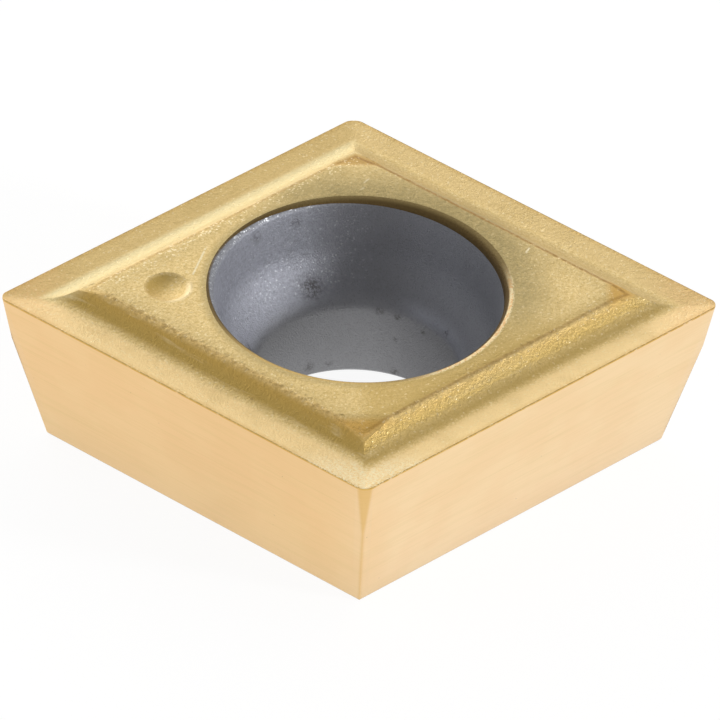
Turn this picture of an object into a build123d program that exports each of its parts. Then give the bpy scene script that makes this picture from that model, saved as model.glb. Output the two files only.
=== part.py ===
from build123d import *

import os
from math import cos, degrees, radians, sin, tan

# Indexable cutting insert: one sintered, ground and coated piece. Millimetres and degrees.
# Origin at the centre of the seat face, +Z up, the two sharper corners on the X axis.

# The plate: a rhombus whose four cutting edges touch one inscribed circle.
inscribed_circle = 6.35
sharp_corner_angle = 80.0
edge_height = 2.38  # from the seat face up to the cutting edges
clearance_angle = 11.0  # how far every flank leans in below its cutting edge
sharp_corner_radius = 0.14  # at the cutting edges
blunt_corner_radius = 0.2
corner_crease = 6.0  # between a rounded corner and the flanks beside it

# The chip breaker, measured inwards and upwards from the cutting edge.
rim_fall = 5.0  # slope of the rim, down towards the groove
wall_angle = 40.0  # slope of the wall that rises from the groove to the land
groove_radius = 0.45
land_inset = 0.81
land_rise = 0.2
land_edge_radius = 0.12

# The small sloping facets at the four corners of the land.
sharp_facet_length = 0.26
blunt_facet_length = 0.34
facet_fall = 11.0

# The dimple on the land, which marks one of the two sharper corners.
dimple_width = 0.64
dimple_depth = 0.08
dimple_inset = 1.06  # from the land's own corner to the middle of the dimple

# The screw hole: a plain bore, a curved seat for the screw's head and a rounded mouth.
bore_diameter = 2.8
bore_length = 1.12
bore_chamfer = 0.09
seat_angle = 44.0  # of the lower seat to the hole's axis
seat_radius = 0.7
mouth_diameter = 3.98  # where the upper wall would reach the land's height
mouth_angle = 7.0  # of the upper wall to the hole's axis
lip_width = 0.1  # from there out to where the sloping lip meets the land
lip_angle = 12.0  # of the lip to the land
lip_radius = 0.11  # between the lip and the upper wall

# Sizes that follow from those above.
half_corner = radians(sharp_corner_angle / 2)
inradius = inscribed_circle / 2
half_length = inradius / sin(half_corner)
half_width = inradius / cos(half_corner)
lean = tan(radians(clearance_angle))
land_height = edge_height + land_rise
land_half_length = half_length - land_inset / sin(half_corner)
land_half_width = half_width - land_inset / cos(half_corner)
reach = 2 * inscribed_circle  # how far a cutter goes past what it cuts


def sharp_plate():
    """The plate with its flanks carried on up to the land and its corners still unrounded."""
    plate = Box(reach, reach, land_height, align=(Align.CENTER, Align.CENTER, Align.MIN))
    tilt = radians(clearance_angle)
    for side_x, side_y in ((1, 1), (-1, 1), (-1, -1), (1, -1)):
        outwards = Vector(side_x * sin(half_corner), side_y * cos(half_corner), 0)
        edge_middle = outwards * inradius + Vector(0, 0, edge_height)
        flank = Plane(edge_middle, z_dir=outwards * cos(tilt) - Vector(0, 0, sin(tilt)))
        plate = split(plate, bisect_by=flank, keep=Keep.BOTTOM)
    return plate


def corner_cutter(corner_distance, half_angle, radius):
    """What rounding takes off the corner on +X, where two flanks meet at twice the half angle.

    The rounding is a cone with an upright axis. It has this radius at the cutting edge and
    runs out below, from where the two flanks meet in a plain edge. It stands just inside the
    flanks, so it meets them in a faint crease.
    """
    depth = radius / lean
    height = depth + land_rise
    outside = make_face(
        Polyline((0, 0), (reach, 0), (reach, height), (height * lean, height), close=True)
    )
    turn = 180 - 2 * degrees(half_angle)
    ring = revolve(Plane.XZ * outside, Axis.Z, revolution_arc=turn)
    axis_inset = radius * cos(radians(corner_crease))
    axis_x = corner_distance - axis_inset / sin(half_angle)
    return Pos(axis_x, 0, edge_height - depth) * Rot(0, 0, -turn / 2) * ring


def round_corners(plate):
    """Rounds all four corners of the plate."""
    sharp = corner_cutter(half_length, half_corner, sharp_corner_radius)
    blunt_half_corner = radians(90) - half_corner
    blunt = Rot(0, 0, 90) * corner_cutter(half_width, blunt_half_corner, blunt_corner_radius)
    return plate - sharp - Rot(0, 0, 180) * sharp - blunt - Rot(0, 0, 180) * blunt


def breaker_section():
    """What the chip breaker takes off, across one edge: x inwards and y up from the edge."""
    rim_slope = tan(radians(rim_fall))
    wall_slope = tan(radians(wall_angle))
    groove_inset = (land_inset * wall_slope - land_rise) / (rim_slope + wall_slope)
    groove = (groove_inset, -groove_inset * rim_slope)
    land_edge = (land_inset, land_rise)
    section = make_face(
        Polyline(
            (-reach, 0),
            (0, 0),
            groove,
            land_edge,
            (reach, land_rise),
            (reach, reach),
            (-reach, reach),
            close=True,
        )
    )
    for corner, radius in ((groove, groove_radius), (land_edge, land_edge_radius)):
        section = fillet(section.vertices().sort_by_distance(corner)[0], radius)
    return section


def chip_breaker():
    """The pressed top's cutter: one section along each edge, mitred on the diagonals."""
    inwards = Vector(-sin(half_corner), -cos(half_corner), 0)
    along = Vector(-cos(half_corner), sin(half_corner), 0)
    foot = Vector(0, 0, edge_height) - inwards * inradius
    bar = extrude(Plane(foot, inwards, along) * breaker_section(), reach, both=True)
    quadrant = Pos(0, 0, edge_height) * Box(
        reach, reach, 4 * reach, align=(Align.MIN, Align.MIN, Align.CENTER)
    )
    quarter = bar & quadrant
    half = quarter + mirror(quarter, Plane.YZ)
    return half + mirror(half, Plane.XZ)


def facet_cutter(corner_distance, length):
    """The wedge that slopes the land down over this length before its corner on +X."""
    start = corner_distance - length
    end = corner_distance + length
    drop = 2 * length * tan(radians(facet_fall))
    profile = Polyline(
        (start, land_height),
        (end, land_height - drop),
        (end, land_height + reach),
        (start, land_height + reach),
        close=True,
    )
    return extrude(Plane.XZ * make_face(profile), corner_distance, both=True)


def land_facets():
    """The four facets at the land's corners."""
    sharp = facet_cutter(land_half_length, sharp_facet_length)
    blunt = Rot(0, 0, 90) * facet_cutter(land_half_width, blunt_facet_length)
    return [sharp, Rot(0, 0, 180) * sharp, blunt, Rot(0, 0, 180) * blunt]


def dimple():
    """The ball that presses the dimple."""
    half = dimple_width / 2
    ball_radius = (half**2 + dimple_depth**2) / (2 * dimple_depth)
    middle = (dimple_inset - land_half_length, 0, land_height - dimple_depth + ball_radius)
    return Pos(*middle) * Sphere(ball_radius)


def screw_hole():
    """The hole's cutter, turned about Z."""
    bore = bore_diameter / 2
    mouth = mouth_diameter / 2
    seat_foot = bore_chamfer + bore_length
    seat_slope = tan(radians(seat_angle))
    mouth_slope = tan(radians(mouth_angle))
    lip_slope = tan(radians(lip_angle))
    # The seat, the upper wall and the lip are straight lines, which two roundings join.
    climb = (mouth - bore - (land_height - seat_foot) * mouth_slope) / (seat_slope - mouth_slope)
    seat_top = (bore + climb * seat_slope, seat_foot + climb)
    lip_depth = lip_width * lip_slope / (1 - mouth_slope * lip_slope)
    lip_foot = (mouth - lip_depth * mouth_slope, land_height - lip_depth)
    section = make_face(
        Polyline(
            (0, -reach),
            (bore + bore_chamfer, -reach),
            (bore + bore_chamfer, 0),
            (bore, bore_chamfer),
            (bore, seat_foot),
            seat_top,
            lip_foot,
            (mouth + lip_width + reach, land_height + reach * lip_slope),
            (0, land_height + reach * lip_slope),
            close=True,
        )
    )
    for corner, radius in ((seat_top, seat_radius), (lip_foot, lip_radius)):
        section = fillet(section.vertices().sort_by_distance(corner)[0], radius)
    return revolve(Plane.XZ * section, Axis.Z)


insert = round_corners(sharp_plate()) - chip_breaker()
for cutter in [*land_facets(), dimple(), screw_hole()]:
    insert -= cutter

os.makedirs("parts", exist_ok=True)
export_step(insert, "parts/insert.step")
print("insert", round(insert.volume, 3), "mm3", insert.bounding_box().size)
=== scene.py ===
from functools import reduce
from math import ceil, cos, hypot, pi, radians, sin, tan

import bmesh
import bpy
from mathutils import Matrix, Vector


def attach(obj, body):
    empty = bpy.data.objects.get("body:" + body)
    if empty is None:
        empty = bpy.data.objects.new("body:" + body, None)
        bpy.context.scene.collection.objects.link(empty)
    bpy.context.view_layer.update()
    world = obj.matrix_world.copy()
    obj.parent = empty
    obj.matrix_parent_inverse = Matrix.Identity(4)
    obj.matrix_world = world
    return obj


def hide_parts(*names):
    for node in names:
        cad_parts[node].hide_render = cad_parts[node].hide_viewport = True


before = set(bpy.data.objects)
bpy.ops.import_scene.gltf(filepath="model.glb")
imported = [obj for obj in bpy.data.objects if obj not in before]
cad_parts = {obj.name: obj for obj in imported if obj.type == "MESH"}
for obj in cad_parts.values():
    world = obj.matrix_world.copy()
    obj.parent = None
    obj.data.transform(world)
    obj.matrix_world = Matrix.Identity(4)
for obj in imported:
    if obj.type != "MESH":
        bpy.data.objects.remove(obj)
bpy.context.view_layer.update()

# Sizes in millimetres and angles in degrees. The piece is modelled in millimetres and made
# metres at the end. Everything is laid out from the seat's centre, with +Z up.
MM = 0.001
INSCRIBED_CIRCLE = 6.35
SHARP_CORNER_ANGLE = 80.0
EDGE_HEIGHT = 2.38
CLEARANCE_ANGLE = 11.0
SHARP_CORNER_RADIUS = 0.14
BLUNT_CORNER_RADIUS = 0.2
CORNER_CREASE = 6.0  # the faint kink where a corner's arc meets each flank
HONE_WIDTH = 0.012  # the cutting edges' own tiny rounding
SEAT_EDGE_WIDTH = 0.03  # the break of the edges around the seat

RIM_FALL = 5.0
WALL_ANGLE = 40.0
GROOVE_RADIUS = 0.45
LAND_INSET = 0.81
LAND_RISE = 0.2
LAND_EDGE_RADIUS = 0.12

SHARP_FACET_LENGTH = 0.26
BLUNT_FACET_LENGTH = 0.34
FACET_FALL = 11.0

DIMPLE_WIDTH = 0.64
DIMPLE_DEPTH = 0.08
DIMPLE_INSET = 1.06

BORE_RADIUS = 1.4
BORE_LENGTH = 1.12
BORE_CHAMFER = 0.09
BORE_EDGE_RADIUS = 0.3
SEAT_ANGLE = 44.0
SEAT_RADIUS = 0.7
MOUTH_RADIUS = 1.99
MOUTH_ANGLE = 7.0
LIP_WIDTH = 0.1
LIP_ANGLE = 12.0
LIP_RADIUS = 0.11
COATING_END = 2.491  # the height where the coating stops inside the hole, at its middle

# The powder's grain as real relief: its lumps' size and depth, the share of that depth on the
# whole pressed top, how far it reaches from the land's edge, and what stays smooth by the
# cutting edges and by the hole's lip.
GRAIN_LUMP = 0.07
GRAIN_DEPTH = 0.02
GRAIN_SHARE = 0.2
GRAIN_REACH = 0.12
SMOOTH_BY_EDGES = 0.05
SMOOTH_BY_LIP = 0.02

# What follows from those sizes.
HALF_CORNER = radians(SHARP_CORNER_ANGLE / 2)
INRADIUS = INSCRIBED_CIRCLE / 2
HALF_LENGTH = INRADIUS / sin(HALF_CORNER)
HALF_WIDTH = INRADIUS / cos(HALF_CORNER)
LEAN = tan(radians(CLEARANCE_ANGLE))
LAND_HEIGHT = EDGE_HEIGHT + LAND_RISE
LIP_TOP = MOUTH_RADIUS + LIP_WIDTH
LAND_HALF_LENGTH = HALF_LENGTH - LAND_INSET / sin(HALF_CORNER)
LAND_HALF_WIDTH = HALF_WIDTH - LAND_INSET / cos(HALF_CORNER)

# How finely the piece is divided: segments and cuts, then the longest steps of the sections.
HALF_SIDE_SEGMENTS = 90
CORNER_SEGMENTS = 12
GROOVE_SEGMENTS = 12
LAND_EDGE_SEGMENTS = 6
LIP_SEGMENTS = 8
SEAT_SEGMENTS = 12
BORE_EDGE_SEGMENTS = 6
DIMPLE_SEGMENTS = 96
EDGE_SEGMENTS = 2
LAND_CUTS = 8
BREAKER_STEP = 0.07
HOLE_STEP = 0.3
SMOOTH_ANGLE = 25.0

# How near counts as the same place, and how far the cutters reach past what they cut.
TOUCH = 1e-4
CUTTER_SPARE = 0.3
CUTTER_REACH = 1.2

# How far up a face's normal points tells what the face is, and height tells top from foot.
TOP_FACES_OVER = 0.5
RIM_FACES_OVER = 0.7
FLANK_FACES_UNDER = 0.4
FLANK_FACES_OVER = -0.5
SEAT_FACES_UNDER = -0.9
NEAR_EDGES = 0.3
TOP_FROM = EDGE_HEIGHT - 0.1
TOP_FACES_FROM = 2.0
OUTSIDE_HOLE = 2.0


# ---------------------------------------------------------------- modelling helpers


def deselect_all():
    """Leaves nothing selected, so that an operator acts only on what is picked next."""
    if bpy.context.mode != "OBJECT":
        bpy.ops.object.mode_set(mode="OBJECT")
    bpy.ops.object.select_all(action="DESELECT")


def make_active(piece):
    """Selects this one piece."""
    deselect_all()
    piece.select_set(True)
    bpy.context.view_layer.objects.active = piece


def open_for_editing(piece):
    """Makes this the one piece in edit mode, with nothing in it selected."""
    make_active(piece)
    bpy.ops.object.mode_set(mode="EDIT")
    bpy.ops.mesh.select_all(action="DESELECT")


def pick(piece, kind, wanted):
    """Selects the vertices, edges or faces for which wanted(element) is true, and only those."""
    bpy.ops.mesh.select_mode(type={"verts": "VERT", "edges": "EDGE", "faces": "FACE"}[kind])
    bpy.ops.mesh.select_all(action="DESELECT")
    shape = bmesh.from_edit_mesh(piece.data)
    for element in getattr(shape, kind):
        if wanted(element):
            element.select_set(True)
    shape.select_flush_mode()
    bmesh.update_edit_mesh(piece.data)


def apply_place(piece):
    """Puts the piece's place, turn and size into its mesh."""
    make_active(piece)
    bpy.ops.object.transform_apply(location=True, rotation=True, scale=True)


def move(piece, place):
    """Moves the piece's mesh from the middle to this place."""
    piece.location = place
    apply_place(piece)


def turn(piece, axis, angle):
    """Turns the piece's mesh about this axis through the middle."""
    setattr(piece.rotation_euler, axis, angle)
    apply_place(piece)


def tidy_mesh(piece, weld):
    """Merges doubled vertices and turns every face outwards."""
    open_for_editing(piece)
    bpy.ops.mesh.select_all(action="SELECT")
    bpy.ops.mesh.remove_doubles(threshold=weld)
    bpy.ops.mesh.normals_make_consistent(inside=False)
    bpy.ops.object.mode_set(mode="OBJECT")


def rounded_corner(before, corner, after, radius, segments):
    """Points of the arc of this radius that joins two straight lines near their corner."""
    p, c, n = Vector(before), Vector(corner), Vector(after)
    to_p, to_n = (p - c).normalized(), (n - c).normalized()
    half = to_p.angle(to_n) / 2
    middle = c + (to_p + to_n).normalized() * (radius / sin(half))
    start = c + to_p * (radius / tan(half)) - middle
    end = c + to_n * (radius / tan(half)) - middle
    sweep = start.angle_signed(end)
    points = []
    for step in range(segments + 1):
        turned = start.copy()
        turned.rotate(Matrix.Rotation(-sweep * step / segments, 2))
        points.append(tuple(middle + turned))
    return points


def divided(points, longest):
    """The same line of points with no gap longer than this."""
    line = [points[0]]
    for start, end in zip(points, points[1:]):
        gap = hypot(end[0] - start[0], end[1] - start[1])
        cuts = max(1, ceil(gap / longest))
        for cut in range(1, cuts + 1):
            share = cut / cuts
            line.append(tuple(a + (b - a) * share for a, b in zip(start, end)))
    return line


# ---------------------------------------------------------------- the insert's sections


def breaker_profile():
    """The pressed top across one edge, as (inwards, upwards) from the cutting edge."""
    rim, wall = tan(radians(RIM_FALL)), tan(radians(WALL_ANGLE))
    groove_inset = (LAND_INSET * wall - LAND_RISE) / (rim + wall)
    edge = (0, 0)
    groove = (groove_inset, -groove_inset * rim)
    land_edge = (LAND_INSET, LAND_RISE)
    land = (2 * LAND_INSET, LAND_RISE)
    return [
        edge,
        *rounded_corner(edge, groove, land_edge, GROOVE_RADIUS, GROOVE_SEGMENTS),
        *rounded_corner(groove, land_edge, land, LAND_EDGE_RADIUS, LAND_EDGE_SEGMENTS),
    ]


def hole_profile():
    """The screw hole from its lip down to the seat face, as (radius, height)."""
    seat_foot = (BORE_RADIUS, BORE_CHAMFER + BORE_LENGTH)
    seat, mouth = tan(radians(SEAT_ANGLE)), tan(radians(MOUTH_ANGLE))
    lip = tan(radians(LIP_ANGLE))
    climb = (MOUTH_RADIUS - BORE_RADIUS - (LAND_HEIGHT - seat_foot[1]) * mouth) / (seat - mouth)
    seat_top = (BORE_RADIUS + climb * seat, seat_foot[1] + climb)
    lip_depth = LIP_WIDTH * lip / (1 - mouth * lip)
    lip_foot = (MOUTH_RADIUS - lip_depth * mouth, LAND_HEIGHT - lip_depth)
    lip_top = (LIP_TOP, LAND_HEIGHT)
    bore_foot = (BORE_RADIUS, BORE_CHAMFER)
    return [
        lip_top,
        *rounded_corner(lip_top, lip_foot, seat_top, LIP_RADIUS, LIP_SEGMENTS),
        *rounded_corner(lip_foot, seat_top, seat_foot, SEAT_RADIUS, SEAT_SEGMENTS),
        *rounded_corner(seat_top, seat_foot, bore_foot, BORE_EDGE_RADIUS, BORE_EDGE_SEGMENTS),
        bore_foot,
        (BORE_RADIUS + BORE_CHAMFER, 0),
    ]


# ---------------------------------------------------------------- the insert's shape


def draw_ring(factor, lift):
    """Extrudes the picked ring, and moves the new one to this share of its size and this far up."""
    bpy.ops.mesh.extrude_edges_move(TRANSFORM_OT_translate={"value": (0, 0, lift)})
    bpy.ops.transform.resize(value=(factor, factor, 1), center_override=(0, 0, 0))


def pick_ring(piece, height):
    """Picks the open edges at this height."""

    def wanted(edge):
        level = all(abs(vertex.co.z - height) < TOUCH for vertex in edge.verts)
        return edge.is_boundary and level

    pick(piece, "edges", wanted)


def add_edge_ring():
    """The outline of the four cutting edges, still sharp at its corners, as one open ring."""
    bpy.ops.mesh.primitive_circle_add(
        vertices=4, radius=1, fill_type="NOTHING", location=(0, 0, EDGE_HEIGHT)
    )
    piece = bpy.context.object
    piece.name = "insert_body"
    apply_place(piece)
    open_for_editing(piece)
    bpy.ops.mesh.select_all(action="SELECT")
    bpy.ops.transform.resize(value=(HALF_LENGTH, HALF_WIDTH, 1), center_override=(0, 0, 0))
    bpy.ops.mesh.subdivide(number_cuts=1)
    bpy.ops.mesh.subdivide(number_cuts=HALF_SIDE_SEGMENTS - 1)
    return piece


def press_top():
    """Draws the ring in through the chip breaker's section, mitred at the four corners."""
    section = divided(breaker_profile(), BREAKER_STEP)
    for (inset, rise), (next_inset, next_rise) in zip(section, section[1:]):
        draw_ring((INRADIUS - next_inset) / (INRADIUS - inset), next_rise - rise)


def sink_hole():
    """Adds the hole's lip as a circle inside the land and draws it down to the seat face."""
    section = divided(hole_profile(), HOLE_STEP)
    bpy.ops.mesh.primitive_circle_add(
        vertices=8 * HALF_SIDE_SEGMENTS,
        radius=section[0][0],
        fill_type="NOTHING",
        location=(0, 0, LAND_HEIGHT),
    )
    for (radius, height), (next_radius, next_height) in zip(section, section[1:]):
        draw_ring(next_radius / radius, next_height - height)


def join_land_to_lip(piece):
    """Fills the flat land between the chip breaker and the hole's lip."""
    pick_ring(piece, LAND_HEIGHT)
    bpy.ops.mesh.bridge_edge_loops(number_cuts=LAND_CUTS, interpolation="LINEAR")


def grind_flanks(piece):
    """Draws the edge ring down to the seat face at the clearance angle, then closes the seat."""
    pick_ring(piece, EDGE_HEIGHT)
    draw_ring((INRADIUS - LEAN * EDGE_HEIGHT) / INRADIUS, -EDGE_HEIGHT)
    pick_ring(piece, 0)
    bpy.ops.mesh.bridge_edge_loops(number_cuts=0)


# ---------------------------------------------------------------- the cutters


def add_corner_cutter(corner_distance, half_angle, radius, way):
    """What rounding takes off the corner that lies this way: a sector outside an upright cone."""
    depth = radius / LEAN
    height = depth + LAND_RISE + CUTTER_SPARE
    spread = pi - 2 * half_angle
    axis = corner_distance - radius * cos(radians(CORNER_CREASE)) / sin(half_angle)
    bpy.ops.mesh.primitive_plane_add(size=1, location=(0.5, 0, 0.5), rotation=(pi / 2, 0, 0))
    cutter = bpy.context.object
    apply_place(cutter)
    open_for_editing(cutter)
    bpy.ops.mesh.select_all(action="SELECT")
    bpy.ops.transform.resize(value=(CUTTER_REACH, 1, height), center_override=(0, 0, 0))
    pick(cutter, "verts", lambda v: v.co.x < TOUCH and v.co.z > TOUCH)
    bpy.ops.transform.translate(value=(height * LEAN, 0, 0))
    bpy.ops.mesh.select_all(action="SELECT")
    bpy.ops.mesh.spin(steps=CORNER_SEGMENTS, angle=spread, center=(0, 0, 0), axis=(0, 0, 1))
    bpy.ops.object.mode_set(mode="OBJECT")
    turn(cutter, "z", spread / 2)
    move(cutter, (axis, 0, EDGE_HEIGHT - depth))
    turn(cutter, "z", way)
    tidy_mesh(cutter, TOUCH)
    return cutter


def add_facet_cutter(corner_distance, length, way):
    """The block that slopes the land down over this length before the corner that lies this way."""
    bpy.ops.mesh.primitive_cube_add(size=1, location=(length, 0, length))
    cutter = bpy.context.object
    cutter.scale = (2 * length, 1, 2 * length)
    apply_place(cutter)
    turn(cutter, "y", radians(FACET_FALL))
    move(cutter, (corner_distance - length, 0, LAND_HEIGHT))
    turn(cutter, "z", way)
    return cutter


def add_dimple_ball():
    """The ball that presses the dimple which marks one sharper corner."""
    half = DIMPLE_WIDTH / 2
    ball_radius = (half**2 + DIMPLE_DEPTH**2) / (2 * DIMPLE_DEPTH)
    middle = (DIMPLE_INSET - LAND_HALF_LENGTH, 0, LAND_HEIGHT - DIMPLE_DEPTH + ball_radius)
    bpy.ops.mesh.primitive_uv_sphere_add(
        segments=DIMPLE_SEGMENTS, ring_count=DIMPLE_SEGMENTS, radius=ball_radius, location=middle
    )
    ball = bpy.context.object
    apply_place(ball)
    return ball


def add_cutters():
    """All that is taken off the insert, as one piece of separate shells."""
    blunt_half_corner = pi / 2 - HALF_CORNER
    cutters = [add_dimple_ball()]
    for sharp in (0, pi):
        blunt = sharp + pi / 2
        cutters += [
            add_corner_cutter(HALF_LENGTH, HALF_CORNER, SHARP_CORNER_RADIUS, sharp),
            add_corner_cutter(HALF_WIDTH, blunt_half_corner, BLUNT_CORNER_RADIUS, blunt),
            add_facet_cutter(LAND_HALF_LENGTH, SHARP_FACET_LENGTH, sharp),
            add_facet_cutter(LAND_HALF_WIDTH, BLUNT_FACET_LENGTH, blunt),
        ]
    deselect_all()
    for cutter in cutters:
        cutter.select_set(True)
    bpy.context.view_layer.objects.active = cutters[0]
    bpy.ops.object.join()
    return bpy.context.object


def cut_away(piece, cutter):
    """Takes the cutter's shells off the piece and deletes them."""
    make_active(piece)
    cut = piece.modifiers.new("cut", "BOOLEAN")
    cut.operation = "DIFFERENCE"
    cut.solver = "EXACT"
    cut.object = cutter
    bpy.ops.object.modifier_apply(modifier=cut.name)
    bpy.data.objects.remove(cutter)


# ---------------------------------------------------------------- edges and grain of the shape


def inset_of(point):
    """How far inside the cutting edges' outline a point lies, seen from above."""
    return INRADIUS - abs(point.x) * sin(HALF_CORNER) - abs(point.y) * cos(HALF_CORNER)


def is_cutting_edge(edge):
    """True where the pressed rim meets a ground flank."""
    slopes = sorted(face.normal.z for face in edge.link_faces)
    near_edge = all(inset_of(end.co) < NEAR_EDGES and end.co.z > TOP_FROM for end in edge.verts)
    if len(slopes) != 2 or not near_edge:
        return False
    return slopes[0] < FLANK_FACES_UNDER and slopes[1] > RIM_FACES_OVER


def is_seat_edge(edge):
    """True where the seat face meets a ground flank."""
    slopes = sorted(face.normal.z for face in edge.link_faces)
    level = all(end.co.z < TOUCH for end in edge.verts)
    outer = all(hypot(end.co.x, end.co.y) > OUTSIDE_HOLE for end in edge.verts)
    return level and outer and slopes[0] < SEAT_FACES_UNDER and slopes[1] > FLANK_FACES_OVER


def round_edges(piece, wanted, width):
    """Rounds the wanted edges by this width."""
    open_for_editing(piece)
    pick(piece, "edges", wanted)
    bpy.ops.mesh.bevel(offset=width, offset_type="OFFSET", segments=EDGE_SEGMENTS, affect="EDGES")
    bpy.ops.object.mode_set(mode="OBJECT")


def grain_at(place):
    """The share of the grain's depth at a point of the piece: most along the land's edge."""
    inset = inset_of(place)
    in_hole = hypot(place.x, place.y) < LIP_TOP - SMOOTH_BY_LIP
    if place.z < TOP_FROM or in_hole or inset < SMOOTH_BY_EDGES:
        return 0
    near_land_edge = max(0, 1 - abs(inset - LAND_INSET) / GRAIN_REACH)
    return GRAIN_SHARE + (1 - GRAIN_SHARE) * near_land_edge


def roughen_top(piece):
    """Makes the land's edge, and faintly the whole pressed top, as uneven as the powder's grain."""
    group = piece.vertex_groups.new(name="grain")
    for vertex in piece.data.vertices:
        share = grain_at(vertex.co)
        if share:
            group.add([vertex.index], share, "REPLACE")
    grain = bpy.data.textures.new("grain", "CLOUDS")
    grain.noise_scale = GRAIN_LUMP
    grain.noise_depth = 2
    lumps = piece.modifiers.new("grain", "DISPLACE")
    lumps.texture = grain
    lumps.vertex_group = group.name
    lumps.strength = GRAIN_DEPTH
    lumps.mid_level = 1.0
    make_active(piece)
    bpy.ops.object.modifier_apply(modifier=lumps.name)
    piece.vertex_groups.clear()


def build_body():
    """The whole insert as one closed piece, in metres."""
    piece = add_edge_ring()
    press_top()
    sink_hole()
    join_land_to_lip(piece)
    grind_flanks(piece)
    tidy_mesh(piece, TOUCH)
    cut_away(piece, add_cutters())
    tidy_mesh(piece, 10 * TOUCH)
    round_edges(piece, is_cutting_edge, HONE_WIDTH)
    round_edges(piece, is_seat_edge, SEAT_EDGE_WIDTH)
    tidy_mesh(piece, TOUCH)
    roughen_top(piece)
    piece.scale = (MM, MM, MM)
    apply_place(piece)
    bpy.ops.object.shade_smooth_by_angle(angle=radians(SMOOTH_ANGLE))
    return piece


# ---------------------------------------------------------------- material tools


class Value:
    """A number, colour or direction in a node tree, on which plain arithmetic adds the nodes."""

    def __init__(self, nodes, socket):
        self.nodes = nodes
        self.socket = socket

    def _maths(self, operation, first, second):
        return self.nodes.node("ShaderNodeMath", {"operation": operation}, {0: first, 1: second})

    def __add__(self, other):
        return self._maths("ADD", self, other)

    def __radd__(self, other):
        return self._maths("ADD", other, self)

    def __sub__(self, other):
        return self._maths("SUBTRACT", self, other)

    def __rsub__(self, other):
        return self._maths("SUBTRACT", other, self)

    def __mul__(self, other):
        return self._maths("MULTIPLY", self, other)

    def __rmul__(self, other):
        return self._maths("MULTIPLY", other, self)

    def __pow__(self, other):
        return self._maths("POWER", self, other)

    def least(self, other):
        return self._maths("MINIMUM", self, other)

    def most(self, other):
        return self._maths("MAXIMUM", self, other)

    def size(self):
        return self._maths("ABSOLUTE", self, 0.0)


def highest(values):
    """The highest of these values at each place."""
    return reduce(Value.most, values)


class Nodes:
    """A node tree with its output node, to which one method adds every other node."""

    def __init__(self, tree, output_kind):
        self.tree = tree
        self.tree.nodes.clear()
        self.output = self.tree.nodes.new(output_kind)

    def node(self, kind, settings=None, inputs=None, output=0):
        """Adds one node: its settings first, then its sockets' values or links."""
        node = self.tree.nodes.new(kind)
        for name, value in (settings or {}).items():
            setattr(node, name, value)
        for name, value in (inputs or {}).items():
            if isinstance(value, Value):
                self.tree.links.new(value.socket, node.inputs[name])
            else:
                node.inputs[name].default_value = value
        return Value(self, node.outputs[output])

    def show(self, shader):
        """Makes this shader the one that the output node shows."""
        self.tree.links.new(shader.socket, self.output.inputs["Surface"])

    def vector(self, operation, first, inputs, output=0):
        """Adds one Vector Math node, with its sockets after the first in a dictionary."""
        settings = {"operation": operation}
        return self.node("ShaderNodeVectorMath", settings, {0: first, **inputs}, output)

    def dot(self, first, second):
        """How far one direction points along another."""
        return self.vector("DOT_PRODUCT", first, {1: second}, 1)

    def rise(self, value, low, high):
        """0 at the low value, 1 at the high one, with a soft step between."""
        settings = {"interpolation_type": "SMOOTHSTEP", "clamp": True}
        inputs = {"Value": value, "From Min": low, "From Max": high, "To Min": 0.0, "To Max": 1.0}
        return self.node("ShaderNodeMapRange", settings, inputs, "Result")

    def near(self, value, middle, outer, inner):
        """1 within the inner distance of the middle value, fading to 0 at the outer one."""
        return self.rise((value - middle).size(), outer, inner)

    def mixed(self, share, first, second):
        """One colour turning into another as the share goes from 0 to 1."""
        settings = {"data_type": "RGBA", "clamp_factor": True}
        return self.node("ShaderNodeMix", settings, {0: share, 6: first, 7: second}, 2)


class Finish(Nodes):
    """A material with a Principled shader, a millimetre position and a colour built in layers."""

    def __init__(self, name, shader_settings):
        self.material = bpy.data.materials.new(name)
        self.material.use_nodes = True
        super().__init__(self.material.node_tree, "ShaderNodeOutputMaterial")
        self.shader = self.node("ShaderNodeBsdfPrincipled", {}, shader_settings)
        self.show(self.shader)
        place = self.node("ShaderNodeTexCoord", output="Object")
        self.place = self.vector("SCALE", place, {3: 1 / MM})
        self.x, self.y, self.z = (
            self.node("ShaderNodeSeparateXYZ", inputs={0: self.place}, output=axis)
            for axis in range(3)
        )

    def layer(self, share, colour):
        """Turns the colour so far into this one by this share."""
        self.colour = self.mixed(share, self.colour, colour)

    def feed(self, **sockets):
        """Links what varies over the surface to the shader, with _ for a socket's spaces."""
        for socket, value in sockets.items():
            target = self.shader.socket.node.inputs[socket.replace("_", " ")]
            self.tree.links.new(value.socket, target)

    def noise(self, scale, detail=2.0, place=None, rough=0.5):
        """Soft noise from 0 to 1, at this many lumps a millimetre."""
        inputs = {"Vector": place or self.place, "Scale": scale}
        inputs.update({"Detail": detail, "Roughness": rough})
        return self.node("ShaderNodeTexNoise", {"noise_dimensions": "3D"}, inputs, "Fac")

    def stretched(self, x, y, z):
        """The position with each axis scaled, for patterns that run along one direction."""
        return self.vector("MULTIPLY", self.place, {1: (x, y, z)})

    def grains(self, scale):
        """Single grains, each with its own level from 0 to 1, at this many a millimetre."""
        inputs = {"Vector": self.place, "Scale": scale}
        colour = self.node("ShaderNodeTexVoronoi", {}, inputs, "Color")
        return self.node("ShaderNodeSeparateColor", inputs={0: colour})

    def bump(self, height, distance, strength):
        """A surface that stands up by the height times this distance in metres."""
        inputs = {"Height": height, "Distance": distance, "Strength": strength}
        return self.node("ShaderNodeBump", {}, inputs, "Normal")


# ---------------------------------------------------------------- colours

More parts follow.
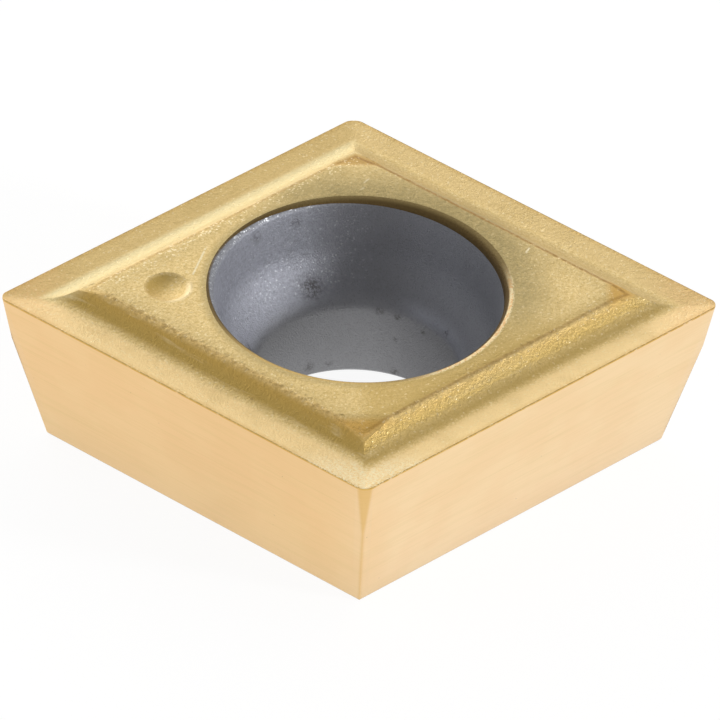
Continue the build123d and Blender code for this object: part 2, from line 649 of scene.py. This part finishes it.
# Several of these colours are painted light and shade; the places that use them say which.
GROUND_LIT_PALE = (0.95, 0.71, 0.42, 1.0)
GROUND_GOLD = (0.92, 0.63, 0.32, 1.0)
GROUND_ORANGE = (0.85, 0.50, 0.22, 1.0)
GROUND_OLIVE = (0.68, 0.52, 0.19, 1.0)
SEAT_EDGE_SHADE = (0.42, 0.34, 0.30, 1.0)
PALE_HIGHLIGHT_AND_STREAK = (1.0, 0.84, 0.52, 1.0)
RIM_PAINTED_LIGHT = (1.0, 0.77, 0.40, 1.0)
SCRATCH_AND_GLINT_PALE = (1.0, 0.88, 0.60, 1.0)
STRIP_REFLECTION = (0.84, 0.71, 0.395, 1.0)
GRAIN_LIGHT = (0.98, 0.77, 0.39, 1.0)
GRAIN_DARK = (0.72, 0.52, 0.20, 1.0)
CREST_HIGHLIGHT = (0.95, 0.66, 0.25, 1.0)
ORANGE_EDGES_AND_SHADING = (0.72, 0.44, 0.11, 1.0)
OLIVE_SHADE_AND_MOTTLE = (0.60, 0.41, 0.115, 1.0)
DUSK_SHADE = (0.42, 0.33, 0.145, 1.0)
BROWN_PITS_LINES_AND_SHADE = (0.36, 0.23, 0.07, 1.0)
CREASE_SHADE = (0.40, 0.215, 0.05, 1.0)
LIP_BACK_SHADE = (0.285, 0.21, 0.088, 1.0)
LIP_END_AND_SHADE_BROWN = (0.15, 0.10, 0.04, 1.0)
BARE_CARBIDE = (0.52, 0.53, 0.59, 1.0)
DARK_CARBIDE = (0.33, 0.335, 0.36, 1.0)
BORE_SHADE_LEFT = (0.36, 0.36, 0.37, 1.0)
BORE_SHADE = (0.27, 0.27, 0.28, 1.0)
PALE_MOTTLE_AND_GLINT = (0.75, 0.77, 0.80, 1.0)
DARK_SPECK_AND_SHADE = (0.06, 0.05, 0.04, 1.0)
FLOOR_PAINT = (0.9, 0.9, 0.9, 1.0)
WHITE = (1, 1, 1, 1)


# ---------------------------------------------------------------- the ground sides' finish


def ground_finish():
    """Gold coating over finely ground carbide, with grinding lines along each edge."""
    sides = Finish("ground_gold_coating", {"Metallic": 1.0})
    x, z = sides.x, sides.z
    lines = sides.noise(1.0, 4.0, sides.stretched(0.8, 0.8, 60.0), 0.6)
    soft_lines = sides.noise(1.0, 2.0, sides.stretched(1.0, 1.0, 14.0))
    broad = sides.noise(1.3, 2.0)
    fine = sides.noise(9.0, 2.0)

    # Painted light: the right side is paler than the left.
    sides.colour = sides.mixed(sides.rise(x, -0.6, 0.6), GROUND_GOLD, GROUND_LIT_PALE)
    sides.layer(sides.rise(broad, 0.4, 0.6) * 0.12, GROUND_ORANGE)
    # Olive grinding lines, and an olive tone that grows towards the foot of the left side.
    olive_share = sides.rise(lines, 0.5, 0.7) * 0.14 + sides.rise(soft_lines, 0.45, 0.7) * 0.1
    olive_share = olive_share + sides.rise(z, 1.6, 0.0) * sides.rise(x, 0.6, -0.6) * 0.18
    sides.layer(olive_share, GROUND_OLIVE)
    specks = sides.rise(sides.noise(16.0, 1.0), 0.80, 0.83)
    sides.layer(specks * 0.3, DARK_SPECK_AND_SHADE)

    # The two blunt corners' rounding in painted shade, a thin line of painted shade along the seat's
    # edge, and the cutting edge.
    corner_width = 0.09 * (z - 1.35).most(0.1)
    corner = sides.rise(x.size() - corner_width, 0.035, -0.02)
    sides.layer(0.55 * corner, ORANGE_EDGES_AND_SHADING)
    foot_shade = sides.rise(z, SEAT_EDGE_WIDTH, 0.6 * SEAT_EDGE_WIDTH)
    sides.layer(0.6 * foot_shade, SEAT_EDGE_SHADE)
    edge = sides.rise(z, EDGE_HEIGHT - 0.035, EDGE_HEIGHT - 0.015)
    sides.layer(edge * sides.rise(fine, 0.2, 0.5), ORANGE_EDGES_AND_SHADING)

    sides.feed(Base_Color=sides.colour, Roughness=0.3 + 0.12 * lines)
    sides.feed(Normal=sides.bump(lines, 2e-6, 0.35))
    return sides.material


# ---------------------------------------------------------------- the pressed top's finish

# Bright scratches on the land: their middles in millimetres, degrees from +X, length, strength.
SCRATCHES = (
    ((-2.18, 0.57), 73, 0.66, 0.9),
    ((2.315, 0.9), 65, 0.16, 1.0),
    ((0.14, 2.43), 52, 0.16, 0.5),
    ((0.08, 2.25), 48, 0.12, 0.4),
)


def at_front_right(finish):
    """1 on the front right of the hole's lip, where its painted highlight lies, fading to 0 along it
    both ways.
    """
    return finish.rise(0.866 * finish.x - 0.5 * finish.y, 1.35, 1.95)


class PressedTop(Finish):
    """The pressed top's material, with its patterns, and places that are 1 there and 0 elsewhere."""

    def __init__(self):
        super().__init__("pressed_gold_coating", {"Metallic": 1.0})
        x, y, rise = self.x, self.y, self.rise
        self.grain = self.noise(30.0, 3.0, rough=0.75)
        self.coarse = self.noise(14.0, 2.0)
        self.broad = self.noise(2.2, 2.0)
        self.mottle = rise(self.noise(20.0, 2.0, rough=0.7), 0.3, 0.7)
        self.radius = (x * x + y * y) ** 0.5
        self.inset = INRADIUS - x.size() * sin(HALF_CORNER) - y.size() * cos(HALF_CORNER)
        self.left, self.front = rise(x, 0.15, -0.15), rise(y, 0.15, -0.15)
        self.right, self.back = 1 - self.left, 1 - self.front
        self.on_land = rise(self.inset, LAND_INSET, LAND_INSET + 0.06)
        self.mark_breaker()
        self.mark_dusk_shade()

    def mark_breaker(self):
        """The chip breaker's rim and wall, and the pale band of painted reflection along its back
        left groove.
        """
        inset, left, front, rise = self.inset, self.left, self.front, self.rise
        self.rim = rise(inset, 0.42 + 0.07 * front * left, 0.28 + 0.1 * front * left)
        wall_foot = rise(inset, 0.36 + 0.1 * left, 0.48 + 0.12 * left)
        self.wall = wall_foot * rise(inset, 0.84 - 0.02 * front, 0.78 - 0.06 * front)
        self.strip = left * self.back * rise(inset, 0.31, 0.42) * rise(inset, 0.85, 0.6)

    def mark_dusk_shade(self):
        """How much painted shade darkens the coating around the hole, most at its back right, and
        along its lip, with broad uneven patches.
        """
        by_hole = self.rise(self.radius, 2.9, 2.15)
        by_hole = by_hole * self.rise(self.x + 0.4 * self.y, -1.2, 0.6)
        by_hole = by_hole * self.rise(self.y, -3.4, 1.0)
        by_lip = 0.5 * self.rise(self.radius, 2.24, 2.1)
        uneven = (0.7 + 0.32 * self.mottle) * by_hole + 0.2 * (self.broad - 0.5)
        self.dusk_shade = uneven.most(by_lip * (1.0 + 0.7 * by_hole))


def coat_breaker(top):
    """The coating's grain, then painted light and shade on the rims and walls of the chip breaker.
    """
    left, right, front, back = top.left, top.right, top.front, top.back
    grain, rim, wall, rise = top.grain, top.rim, top.wall, top.rise
    top.colour = top.mixed(rise(grain, 0.3, 0.7), GRAIN_DARK, GRAIN_LIGHT)
    # Painted light: the rims lighter, most at the front; painted shade: olive on the back rims.
    top.layer((0.6 + 0.4 * front) * rim, RIM_PAINTED_LIGHT)
    top.layer(back * rim * (0.24 + 0.19 * left), OLIVE_SHADE_AND_MOTTLE)
    top.layer(0.22 * rim * rise(grain, 0.5, 0.3), GRAIN_DARK)
    # Painted shade on the walls: olive at the front, browner at the left, dusky at the back right;
    # broad patches add random olive.
    bend = top.near(top.inset, 0.57, 0.07, 0.02)
    front_wall_shade = wall * front * (0.68 + 0.32 * left - 0.18 * bend * right)
    top.layer(front_wall_shade.most(0.6 * (top.broad - 0.5)), OLIVE_SHADE_AND_MOTTLE)
    top.layer(0.1 * wall * front * left, BROWN_PITS_LINES_AND_SHADE)
    top.layer(0.36 * wall * back * right, DUSK_SHADE)


def coat_land(top):
    """The land's painted shade: dusky by the hole and inside its edge, olive at the front right."""
    inset, rise = top.inset, top.rise
    # Painted shade by the hole and along its lip.
    top.layer(top.dusk_shade, DUSK_SHADE)
    inside_edge_shade = rise(inset, 1.25, 0.9) * rise(inset, LAND_INSET + 0.02, LAND_INSET + 0.1)
    top.layer(0.17 * inside_edge_shade, DUSK_SHADE)
    inside_edge_shade = top.right * top.front * rise(inset, 1.1, 0.85)
    top.layer(0.3 * inside_edge_shade * top.on_land, OLIVE_SHADE_AND_MOTTLE)
    front_shade = 0.15 * rise(top.y, -1.0, -2.4)
    right_shade = 0.42 * top.right * rise(top.y, -0.3, -1.2) * rise(top.radius, 3.3, 2.6)
    top.layer((front_shade + right_shade) * top.on_land, OLIVE_SHADE_AND_MOTTLE)


def coat_facets(top):
    """Painted shade on the sloped facets at the land's corners, browner behind, then the pale band
    of painted reflection.
    """
    along_x = top.x - LAND_HALF_LENGTH + SHARP_FACET_LENGTH + 0.1
    along_y = top.y.size() - LAND_HALF_WIDTH + BLUNT_FACET_LENGTH
    facets = top.rise(along_x.most(along_y), 0.0, 0.16)
    facets = facets * top.rise(top.inset, LAND_INSET - 0.1, LAND_INSET)
    # Painted shade: orange on the facets, browner on those behind.
    top.layer(0.85 * facets, ORANGE_EDGES_AND_SHADING)
    not_at_right = top.left.most(top.rise(top.x, 1.0, 0.5))
    top.layer(0.4 * facets * top.back * not_at_right, BROWN_PITS_LINES_AND_SHADE)
    # Painted reflection: a pale band along the back left groove.
    top.layer(top.strip * (0.75 + 0.4 * top.mottle), STRIP_REFLECTION)


def coat_dimple(top):
    """The dimple: painted shade on its back left side, a painted highlight along its front right
    one.
    """
    x = top.x + (LAND_HALF_LENGTH - DIMPLE_INSET)
    reach = (x * x + top.y * top.y) ** 0.5
    inside = top.rise(reach, DIMPLE_WIDTH / 2, DIMPLE_WIDTH / 2 - 0.06)
    across = 0.8 * x - 0.6 * top.y
    top.layer(0.85 * (inside * top.rise(across, 0.1, -0.2)), OLIVE_SHADE_AND_MOTTLE)
    dimple_highlight = top.near(reach, 0.3, 0.08, 0.0) * top.rise(across, 0.1, 0.28)
    top.layer(0.9 * dimple_highlight, PALE_HIGHLIGHT_AND_STREAK)


def pits_shade_and_edge_lines(top):
    """Pits, painted shade along the land's edge, painted light on the front left wall's upper part,
    then an orange band and a broken dark line along the cutting edge.
    """
    inset, left, front, coarse, rise = top.inset, top.left, top.front, top.coarse, top.rise
    land_edge = top.near(inset - LAND_INSET, 0.04, 0.1, 0.02)
    pit_places = coarse + 0.5 * (top.grain - 0.5) + 0.12 * land_edge * front * (0.6 + left)
    top.layer(rise(pit_places, 0.70, 0.78) * 0.45 * (1 - top.rim), BROWN_PITS_LINES_AND_SHADE)
    # Painted shade along the land's edge.
    crease = top.near(inset - LAND_INSET, 0.022, 0.04, 0.01)
    crease = crease * rise(coarse, 0.15, 0.5) * (1 - 0.45 * left * top.back)
    top.layer((0.8 - 0.35 * front) * (1 - 0.75 * front * left) * crease, CREASE_SHADE)
    # Painted light on the upper part of the front left wall.
    upper_wall_light = rise(inset, 0.6, 0.76) * rise(inset, 0.86, 0.8) * front * left
    top.layer(0.3 * upper_wall_light, ORANGE_EDGES_AND_SHADING)
    top.layer(0.32 * rise(inset, 0.1, 0.02), ORANGE_EDGES_AND_SHADING)
    hone = rise(inset, 0.024, 0.01) * rise(coarse, 0.2, 0.5)
    top.layer(0.75 * hone, BROWN_PITS_LINES_AND_SHADE)


def streak_walls(top):
    """Pale streaks that run along the walls."""
    along_walls = {0: 18.0 * top.inset, 1: top.x - top.y, 2: top.x * top.y}
    lengthways = top.node("ShaderNodeCombineXYZ", {}, along_walls)
    streaks = top.rise(top.noise(0.7, 3.0, lengthways), 0.56, 0.72)
    top.layer((0.14 + 0.22 * top.left) * streaks * top.wall, PALE_HIGHLIGHT_AND_STREAK)


def make_sparkle(top):
    """A painted golden highlight along the front right wall's crest and painted glints on single
    grains, which it gives back.
    """
    left, right, front, back = top.left, top.right, top.front, top.back
    inset, rise = top.inset, top.rise
    grains = top.grains(42.0)
    crest = rise(inset, 0.66, 0.76) * rise(inset, 0.83, 0.79) * front * right
    # Painted highlight along the front right wall's crest.
    top.layer(0.4 * crest * rise(top.grain, 0.2, 0.6), CREST_HIGHLIGHT)
    by_strip = left * back * top.near(inset, 0.9, 0.2, 0.0)
    # Painted glints on single grains, more by the back left groove and the front rims.
    level = grains + 0.01 * crest + 0.07 * by_strip + 0.02 * top.rim * front
    sparkle = rise(level, 0.93, 0.99)
    sparkle = sparkle * (1 - 0.9 * top.wall * front * left) * (1 - 0.8 * top.dusk_shade)
    top.layer(sparkle * (0.4 + 0.5 * by_strip), PALE_HIGHLIGHT_AND_STREAK)
    return sparkle


def brighten_edges(top):
    """Orange tips, painted glints on the front rim, a broken painted highlight by the lip, and
    scratches.
    """
    grain, rise = top.grain, top.rise
    tip = rise(top.x.size(), 3.7, 4.5) * rise(grain, 0.2, 0.7) * top.rim
    top.layer(0.38 * tip, GROUND_ORANGE)
    # Painted glints on the front rim.
    rim_glints = rise(grain, 0.42, 0.58) * rise(top.y, -3.15, -3.7) * top.rim
    top.layer(0.85 * rim_glints, SCRATCH_AND_GLINT_PALE)
    # Painted highlight: a broken bright line by the lip at the front right.
    lip_highlight = rise(top.radius, LIP_TOP + 0.03, LIP_TOP) * rise(grain, 0.4, 0.55)
    top.layer(0.8 * (lip_highlight * at_front_right(top)), PALE_HIGHLIGHT_AND_STREAK)
    top.layer(0.9 * (scratched(top) * rise(top.coarse, 0.3, 0.5)), SCRATCH_AND_GLINT_PALE)


def scratched(top):
    """How much each place is scratched bare of its dull grain."""
    marks = []
    for (x, y), degrees, length, strength in SCRATCHES:
        along = (cos(radians(degrees)), sin(radians(degrees)), 0.0)
        across = (-along[1], along[0], 0.0)
        away = (top.dot(top.place, across) - (x * across[0] + y * across[1])).size()
        down = (top.dot(top.place, along) - (x * along[0] + y * along[1])).size()
        mark = top.rise(away, 0.022, 0.004) * top.rise(down, length / 2, length / 2 - 0.04)
        marks.append(strength * mark)
    return highest(marks)


def pressed_finish():
    """Gold coating over the pressed and sintered top, with a fine sparkling grain."""
    top = PressedTop()
    coat_breaker(top)
    coat_land(top)
    coat_facets(top)
    coat_dimple(top)
    pits_shade_and_edge_lines(top)
    streak_walls(top)
    sparkle = make_sparkle(top)
    brighten_edges(top)
    roughness = 0.36 + 0.2 * top.grain - 0.14 * sparkle - 0.05 * top.strip
    top.feed(Base_Color=top.colour, Roughness=roughness)
    top.feed(Normal=top.bump(top.grain + 0.6 * top.coarse, 1.4e-5, 0.8))
    return top.material


# ---------------------------------------------------------------- the screw hole's finish

# Dark stains on the bare carbide: degrees around the hole, height, reach and strength.
HOLE_STAINS = (
    (112, 1.42, 0.27, 0.95),
    (76, 1.13, 0.10, 0.9),
    (65, 1.10, 0.09, 1.0),
    (31, 1.25, 0.09, 0.7),
    (48, 1.02, 0.07, 0.7),
    (66, 0.70, 0.07, 0.7),
    (66, 0.14, 0.10, 0.8),
    (116, 0.22, 0.12, 0.7),
    (104, 0.20, 0.08, 0.6),
    (135, 2.36, 0.14, 0.6),
    (115, 2.34, 0.12, 0.6),
    (170, 1.30, 0.14, 0.7),
)


def hole_wall_radius(height):
    """About how far from the axis the hole's wall is at this height."""
    if height > 2:
        return MOUTH_RADIUS - 0.03
    return BORE_RADIUS + max(0, height - 1.2) * 0.96


def hole_stains(hole):
    """How much each place in the hole is stained, ragged at the rims of the stains."""
    stains = []
    for degrees, height, reach, strength in HOLE_STAINS:
        wall = hole_wall_radius(height)
        middle = (wall * cos(radians(degrees)), wall * sin(radians(degrees)), height)
        gap = hole.vector("DISTANCE", hole.place, {1: middle}, 1)
        stains.append(strength * hole.rise(gap, reach, 0.1 * reach))
    ragged = hole.noise(22.0, 3.0, rough=0.7)
    return highest(stains) * hole.rise(ragged, 0.36, 0.62)


def bare_tones(hole, grain):
    """Bare carbide, bluish: painted light and shade make it pale at the left and darker behind, in
    the bore and to the right, with painted light on the bore's edge; darker at the lip.
    """
    x, y, z, rise = hole.x, hole.y, hole.z, hole.rise
    # Painted light and shade: paler at the left, darker to the right.
    hole.colour = hole.mixed(rise(x, -1.4, 0.5), BARE_CARBIDE, DARK_CARBIDE)
    # Painted shade at the back of the hole.
    back_shade = rise(x, -0.8, -0.1) * rise(x, 1.4, 0.2) * rise(y, 0.4, 1.2)
    hole.layer(0.3 * back_shade, DARK_SPECK_AND_SHADE)
    # Painted shade in the bore, darker at its right.
    bore = hole.mixed(rise(x, 0.1, 1.3), BORE_SHADE_LEFT, BORE_SHADE)
    hole.layer(rise(z, 1.4, 1.1), bore)
    # Painted light on the bore's edge at the right.
    bore_edge_light = hole.near(z, 1.24, 0.16, 0.0) * rise(x, 0.5, 1.0)
    hole.layer(0.55 * bore_edge_light, BARE_CARBIDE)
    bare_lip = rise(z, LAND_HEIGHT - 0.09, LAND_HEIGHT - 0.03)
    hole.layer(0.9 * bare_lip, DARK_CARBIDE)
    hole.layer(0.2 * rise(grain, 0.5, 0.3), DARK_SPECK_AND_SHADE)


def bare_grain(hole):
    """Light and dark mottling at the back left, then painted glints on bright grains, which it gives
    back.
    """
    x, y, z, rise = hole.x, hole.y, hole.z, hole.rise
    mottle = hole.noise(17.0, 3.0, rough=0.8)
    sugary = 0.15 + 0.85 * rise(x, 0.2, -0.9) * rise(z, 1.2, 1.5)
    hole.layer(0.12 * sugary * rise(mottle, 0.52, 0.38), DARK_SPECK_AND_SHADE)
    hole.layer(0.2 * sugary * rise(mottle, 0.5, 0.68), PALE_MOTTLE_AND_GLINT)
    # Painted glints, more along the top edge at the back left.
    by_edge = rise(z, 2.5, 2.54) * rise(y - x, 2.4, 2.8)
    sparkle = rise(hole.grains(45.0) + 0.08 * by_edge, 0.93, 0.99) * rise(x, 0.6, -1.0)
    sparkle = sparkle * rise(z, 1.3, 1.5)
    hole.layer(sparkle * (0.5 + 0.5 * by_edge), PALE_MOTTLE_AND_GLINT)
    return sparkle


def lip_coating(hole, height):
    """The coated lip: gold on the left, painted shade behind, a broken painted highlight at the
    front right.
    """
    behind = hole.rise(hole.x + 0.7 * hole.y, -1.7, -0.2)
    lip = hole.mixed(behind, GRAIN_DARK, LIP_BACK_SHADE)
    bright = at_front_right(hole)
    glint = hole.rise(hole.noise(22.0, 2.0), 0.42, 0.56)
    lip = hole.mixed(bright, lip, hole.mixed(glint, GROUND_GOLD, PALE_HIGHLIGHT_AND_STREAK))
    # Dark brown near the coating's end, and painted shade on the lip's slope below its top.
    near_bare = hole.rise(height, COATING_END + 0.06, COATING_END)
    lip_foot = LAND_HEIGHT - 0.04 + 0.022 * bright
    below_lip = hole.rise(hole.z, LAND_HEIGHT - 0.008 * bright, lip_foot)
    return hole.mixed(near_bare.most(below_lip), lip, LIP_END_AND_SHADE_BROWN)


def hole_finish():
    """The screw hole: the coating ends below the lip, and bare carbide is left inside."""
    hole = Finish("screw_hole_carbide", {"Metallic": 1.0})
    grain = hole.noise(38.0, 2.0, rough=0.7)
    ragged = hole.noise(7.0, 3.0)
    height = hole.z + 0.004 * (ragged - 0.5) + 0.037 * hole.x - 0.01 * hole.y
    coated = hole.rise(height, COATING_END, COATING_END + 0.008)
    bare_tones(hole, grain)
    sparkle = bare_grain(hole)
    hole.layer(hole_stains(hole) * 0.75, DARK_SPECK_AND_SHADE)
    hole.layer(coated, lip_coating(hole, height))
    hole.feed(Base_Color=hole.colour, Roughness=0.5 + 0.2 * grain - 0.15 * sparkle)
    hole.feed(Normal=hole.bump(grain, 1.5e-5, 0.8))
    return hole.material


def give_finishes(piece):
    """Puts each finish on its own faces: ground sides, pressed top, screw hole."""
    for material in (ground_finish(), pressed_finish(), hole_finish()):
        piece.data.materials.append(material)
    for face in piece.data.polygons:
        middle = face.center
        if hypot(middle.x, middle.y) < LIP_TOP * MM and middle.z > TOUCH * MM:
            face.material_index = 2
        elif face.normal.z > TOP_FACES_OVER and middle.z > TOP_FACES_FROM * MM:
            face.material_index = 1


# ---------------------------------------------------------------- the studio

# Sizes and places in metres, and directions as seen from the insert.
FLOOR_SIZE = 2.0
FLOOR_WHITENESS = 0.85  # the rest of the floor takes the insert's shadow
FLOOR_GLOW = 1.07
SKY_TILT = (0.0, 0.30, -0.95)
GLOW_BEHIND = (0.0, 0.866, 0.5)
GLOW_BACK_LEFT = (-0.42, 0.88, 0.22)
LAMP_SIZE = 0.08
LAMP_POWER = 0.72
LAMP_PLACE = (0.435, -0.165, 0.19)

# The camera's angles in degrees, then its distance, lens and aim in millimetres.
CAMERA_AZIMUTH = radians(-2.361)
CAMERA_ELEVATION = radians(37.888)
CAMERA_ROLL = radians(2.087)
CAMERA_DISTANCE = 139.9
CAMERA_LENS = 513.8
CAMERA_FILM = 36.0
AIM_RIGHT = 0.0091
AIM_UP = -0.8135
NEAREST_SEEN = 0.01


def add_floor():
    """A plain white floor that keeps a faint shadow."""
    bpy.ops.mesh.primitive_plane_add(size=FLOOR_SIZE)
    floor = bpy.context.object
    floor.name = "studio_floor"
    finish = Finish("white_floor", {"Base Color": FLOOR_PAINT, "Roughness": 0.8})
    ray_kinds = ("Is Camera Ray", "Is Glossy Ray", "Is Transmission Ray")
    seen = highest([finish.node("ShaderNodeLightPath", output=kind) for kind in ray_kinds])
    white = finish.node("ShaderNodeEmission", {}, {"Color": WHITE, "Strength": FLOOR_GLOW})
    shares = {0: FLOOR_WHITENESS * seen, 1: finish.shader, 2: white}
    finish.show(finish.node("ShaderNodeMixShader", {}, shares))
    floor.data.materials.append(finish.material)


def light_sky():
    """A soft world: pale at the horizon, darker overhead, with two glows behind."""
    world = bpy.data.worlds.new("studio")
    bpy.context.scene.world = world
    world.use_nodes = True
    sky = Nodes(world.node_tree, "ShaderNodeOutputWorld")
    towards = sky.node("ShaderNodeTexCoord", output="Generated")
    slope = sky.dot(towards, SKY_TILT)
    behind = sky.rise(sky.dot(towards, GLOW_BEHIND), 0.955, 1.0)
    back_left = sky.rise(sky.dot(towards, GLOW_BACK_LEFT), 0.86, 0.95)
    level = (slope + 1.22).least(0.93).most(0.3) + 0.24 * behind + 0.85 * back_left
    sky.show(sky.node("ShaderNodeBackground", {}, {"Color": WHITE, "Strength": level}))


def add_lamp():
    """One soft lamp low at the right, a little to the front."""
    lamp = bpy.data.lights.new("side_lamp", "AREA")
    lamp.shape = "DISK"
    lamp.size = LAMP_SIZE
    lamp.energy = LAMP_POWER
    side_lamp = bpy.data.objects.new("side_lamp", lamp)
    side_lamp.location = LAMP_PLACE
    side_lamp.rotation_euler = side_lamp.location.to_track_quat("Z", "Y").to_euler()
    bpy.context.scene.collection.objects.link(side_lamp)


def add_camera():
    """The main camera, far in front of the insert's near corner and looking down at it."""
    back = Vector((
        sin(CAMERA_AZIMUTH) * cos(CAMERA_ELEVATION),
        -cos(CAMERA_AZIMUTH) * cos(CAMERA_ELEVATION),
        sin(CAMERA_ELEVATION),
    ))
    level = Vector((cos(CAMERA_AZIMUTH), sin(CAMERA_AZIMUTH), 0))
    upright = back.cross(level)
    right = cos(CAMERA_ROLL) * level + sin(CAMERA_ROLL) * upright
    up = cos(CAMERA_ROLL) * upright - sin(CAMERA_ROLL) * level
    top = Vector((0, 0, EDGE_HEIGHT))
    place = top + back * CAMERA_DISTANCE
    aim = top + right * AIM_RIGHT + up * AIM_UP
    behind = (place - aim).normalized()
    across = up.cross(behind).normalized()
    facing = Matrix((across, behind.cross(across), behind)).transposed()
    data = bpy.data.cameras.new("main_camera")
    data.lens = CAMERA_LENS
    data.sensor_width = CAMERA_FILM
    data.clip_start = NEAREST_SEEN
    camera = bpy.data.objects.new("main_camera", data)
    camera.matrix_world = Matrix.Translation(place * MM) @ facing.to_4x4()
    bpy.context.scene.collection.objects.link(camera)
    bpy.context.scene.camera = camera


# ---------------------------------------------------------------- the scene

body = build_body()
give_finishes(body)
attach(body, "root")
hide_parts("insert")

add_floor()
light_sky()
add_lamp()
add_camera()
bpy.context.scene.view_settings.view_transform = "Standard"
